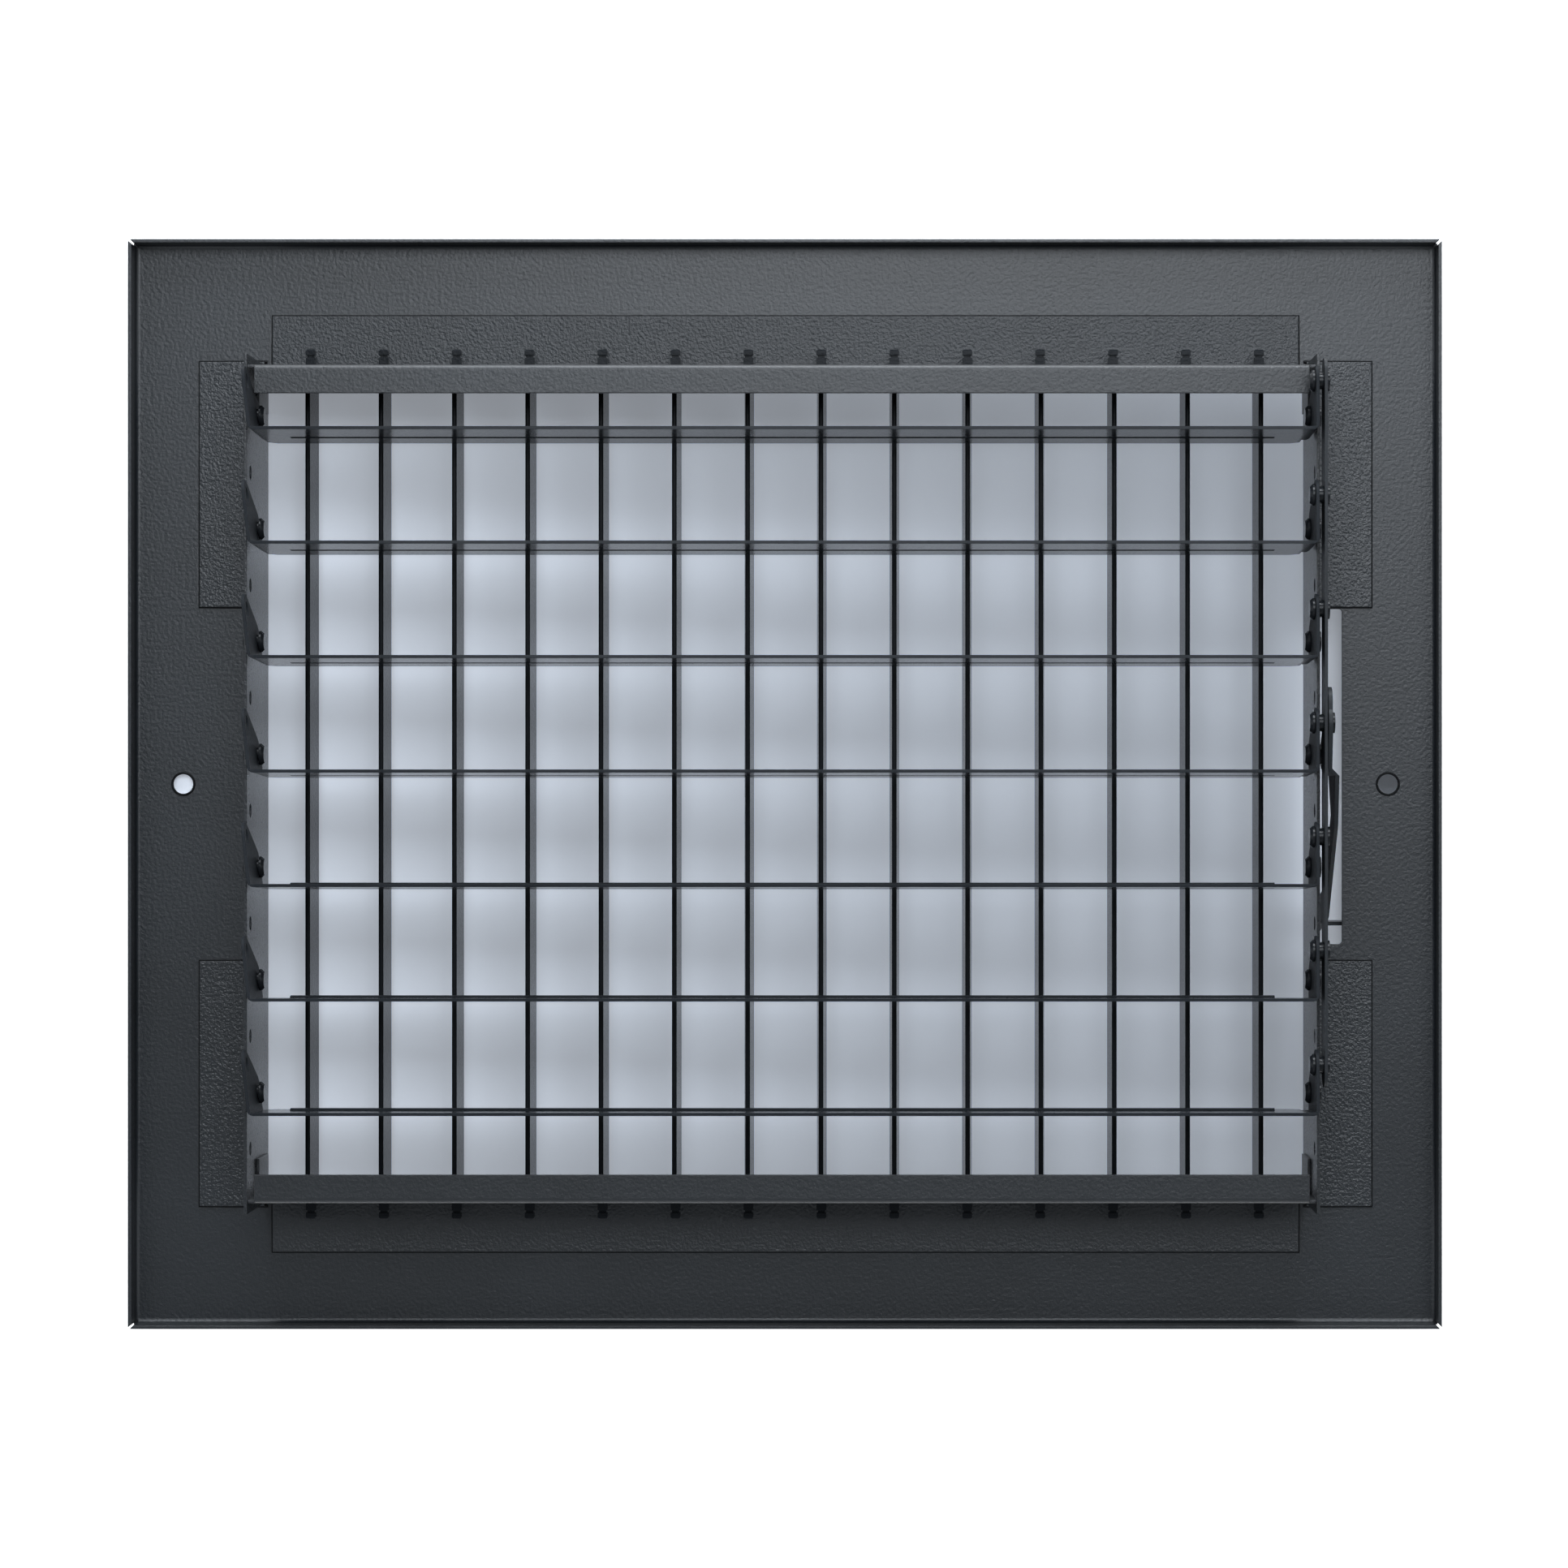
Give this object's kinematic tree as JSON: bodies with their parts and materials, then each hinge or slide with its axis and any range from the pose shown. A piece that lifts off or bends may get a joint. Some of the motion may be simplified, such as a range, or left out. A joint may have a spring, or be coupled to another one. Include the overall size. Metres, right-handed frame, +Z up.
{
  "type": "supply air register",
  "caption": "Rectangular steel supply air register with upright turnable vanes in the face and a lever-worked damper of linked blades in the box behind.",
  "frame": {"origin": "middle of the face plate on its duct side, half way between the two screw holes", "axes": "+X across the face, +Y out of the face into the room, +Z up; the damper box is on the -Y side"},
  "size_m": [0.2986, 0.0586, 0.2476],
  "materials": {
    "black_paint": "satin black powder coat",
    "rivet_paint": "glossy black paint on rivets"
  },
  "bodies": {
    "frame": {"face_plate": "black_paint", "wall_left": "black_paint", "wall_right": "black_paint", "channel_top": "black_paint", "channel_bottom": "black_paint", "pivot_rivets": "rivet_paint"},
    "vane_01": {"vane_01": "black_paint"},
    "vane_02": {"vane_02": "black_paint"},
    "vane_03": {"vane_03": "black_paint"},
    "vane_04": {"vane_04": "black_paint"},
    "vane_05": {"vane_05": "black_paint"},
    "vane_06": {"vane_06": "black_paint"},
    "vane_07": {"vane_07": "black_paint"},
    "vane_08": {"vane_08": "black_paint"},
    "vane_09": {"vane_09": "black_paint"},
    "vane_10": {"vane_10": "black_paint"},
    "vane_11": {"vane_11": "black_paint"},
    "vane_12": {"vane_12": "black_paint"},
    "vane_13": {"vane_13": "black_paint"},
    "vane_14": {"vane_14": "black_paint"},
    "blade_1": {"blade_1": "black_paint"},
    "blade_2": {"blade_2": "black_paint"},
    "blade_3": {"blade_3": "black_paint"},
    "blade_4": {"blade_4": "black_paint", "lever": "black_paint"},
    "blade_5": {"blade_5": "black_paint"},
    "blade_6": {"blade_6": "black_paint"},
    "blade_7": {"blade_7": "black_paint"},
    "link_bar": {"link_bar": "black_paint", "link_rivets": "rivet_paint"}
  },
  "joints": [
    {"name": "vane_01_turn", "type": "hinge", "parent": "frame", "child": "vane_01", "pos_m": [-0.1077, -0.0057, 0], "axis": [0, 0, 1], "range_deg": [-80, 80]},
    {"name": "vane_02_turn", "type": "hinge", "parent": "frame", "child": "vane_02", "pos_m": [-0.09113, -0.0057, 0], "axis": [0, 0, 1], "range_deg": [-80, 80]},
    {"name": "vane_03_turn", "type": "hinge", "parent": "frame", "child": "vane_03", "pos_m": [-0.07457, -0.0057, 0], "axis": [0, 0, 1], "range_deg": [-80, 80]},
    {"name": "vane_04_turn", "type": "hinge", "parent": "frame", "child": "vane_04", "pos_m": [-0.05799, -0.0057, 0], "axis": [0, 0, 1], "range_deg": [-80, 80]},
    {"name": "vane_05_turn", "type": "hinge", "parent": "frame", "child": "vane_05", "pos_m": [-0.04142, -0.0057, 0], "axis": [0, 0, 1], "range_deg": [-80, 80]},
    {"name": "vane_06_turn", "type": "hinge", "parent": "frame", "child": "vane_06", "pos_m": [-0.02485, -0.0057, 0], "axis": [0, 0, 1], "range_deg": [-80, 80]},
    {"name": "vane_07_turn", "type": "hinge", "parent": "frame", "child": "vane_07", "pos_m": [-0.00829, -0.0057, 0], "axis": [0, 0, 1], "range_deg": [-80, 80]},
    {"name": "vane_08_turn", "type": "hinge", "parent": "frame", "child": "vane_08", "pos_m": [0.00829, -0.0057, 0], "axis": [0, 0, 1], "range_deg": [-80, 80]},
    {"name": "vane_09_turn", "type": "hinge", "parent": "frame", "child": "vane_09", "pos_m": [0.02485, -0.0057, 0], "axis": [0, 0, 1], "range_deg": [-80, 80]},
    {"name": "vane_10_turn", "type": "hinge", "parent": "frame", "child": "vane_10", "pos_m": [0.04142, -0.0057, 0], "axis": [0, 0, 1], "range_deg": [-80, 80]},
    {"name": "vane_11_turn", "type": "hinge", "parent": "frame", "child": "vane_11", "pos_m": [0.05799, -0.0057, 0], "axis": [0, 0, 1], "range_deg": [-80, 80]},
    {"name": "vane_12_turn", "type": "hinge", "parent": "frame", "child": "vane_12", "pos_m": [0.07457, -0.0057, 0], "axis": [0, 0, 1], "range_deg": [-80, 80]},
    {"name": "vane_13_turn", "type": "hinge", "parent": "frame", "child": "vane_13", "pos_m": [0.09113, -0.0057, 0], "axis": [0, 0, 1], "range_deg": [-80, 80]},
    {"name": "vane_14_turn", "type": "hinge", "parent": "frame", "child": "vane_14", "pos_m": [0.1077, -0.0057, 0], "axis": [0, 0, 1], "range_deg": [-80, 80]},
    {"name": "blade_1_swing", "type": "hinge", "parent": "frame", "child": "blade_1", "pos_m": [0, -0.026, 0.08181], "axis": [1, 0, 0], "range_deg": [0, 84]},
    {"name": "blade_2_swing", "type": "hinge", "parent": "frame", "child": "blade_2", "pos_m": [0, -0.026, 0.05674], "axis": [1, 0, 0], "range_deg": [0, 84]},
    {"name": "blade_3_swing", "type": "hinge", "parent": "frame", "child": "blade_3", "pos_m": [0, -0.026, 0.03167], "axis": [1, 0, 0], "range_deg": [0, 84]},
    {"name": "lever_swing", "type": "hinge", "parent": "frame", "child": "blade_4", "pos_m": [0, -0.026, 0.0066], "axis": [1, 0, 0], "range_deg": [0, 84]},
    {"name": "blade_5_swing", "type": "hinge", "parent": "frame", "child": "blade_5", "pos_m": [0, -0.026, -0.01847], "axis": [1, 0, 0], "range_deg": [0, 84]},
    {"name": "blade_6_swing", "type": "hinge", "parent": "frame", "child": "blade_6", "pos_m": [0, -0.026, -0.04354], "axis": [1, 0, 0], "range_deg": [0, 84]},
    {"name": "blade_7_swing", "type": "hinge", "parent": "frame", "child": "blade_7", "pos_m": [0, -0.026, -0.06861], "axis": [1, 0, 0], "range_deg": [0, 84]},
    {"name": "link_bar_pin", "type": "hinge", "parent": "blade_4", "child": "link_bar", "pos_m": [0.12, -0.03661, 0.01347], "axis": [1, 0, 0], "range_deg": [-84, 0]}
  ],
  "couplings": [
    {"joint": "blade_1_swing", "follows": "lever_swing", "ratio": 1},
    {"joint": "blade_2_swing", "follows": "lever_swing", "ratio": 1},
    {"joint": "blade_3_swing", "follows": "lever_swing", "ratio": 1},
    {"joint": "blade_5_swing", "follows": "lever_swing", "ratio": 1},
    {"joint": "blade_6_swing", "follows": "lever_swing", "ratio": 1},
    {"joint": "blade_7_swing", "follows": "lever_swing", "ratio": 1},
    {"joint": "link_bar_pin", "follows": "lever_swing", "ratio": -1}
  ]
}
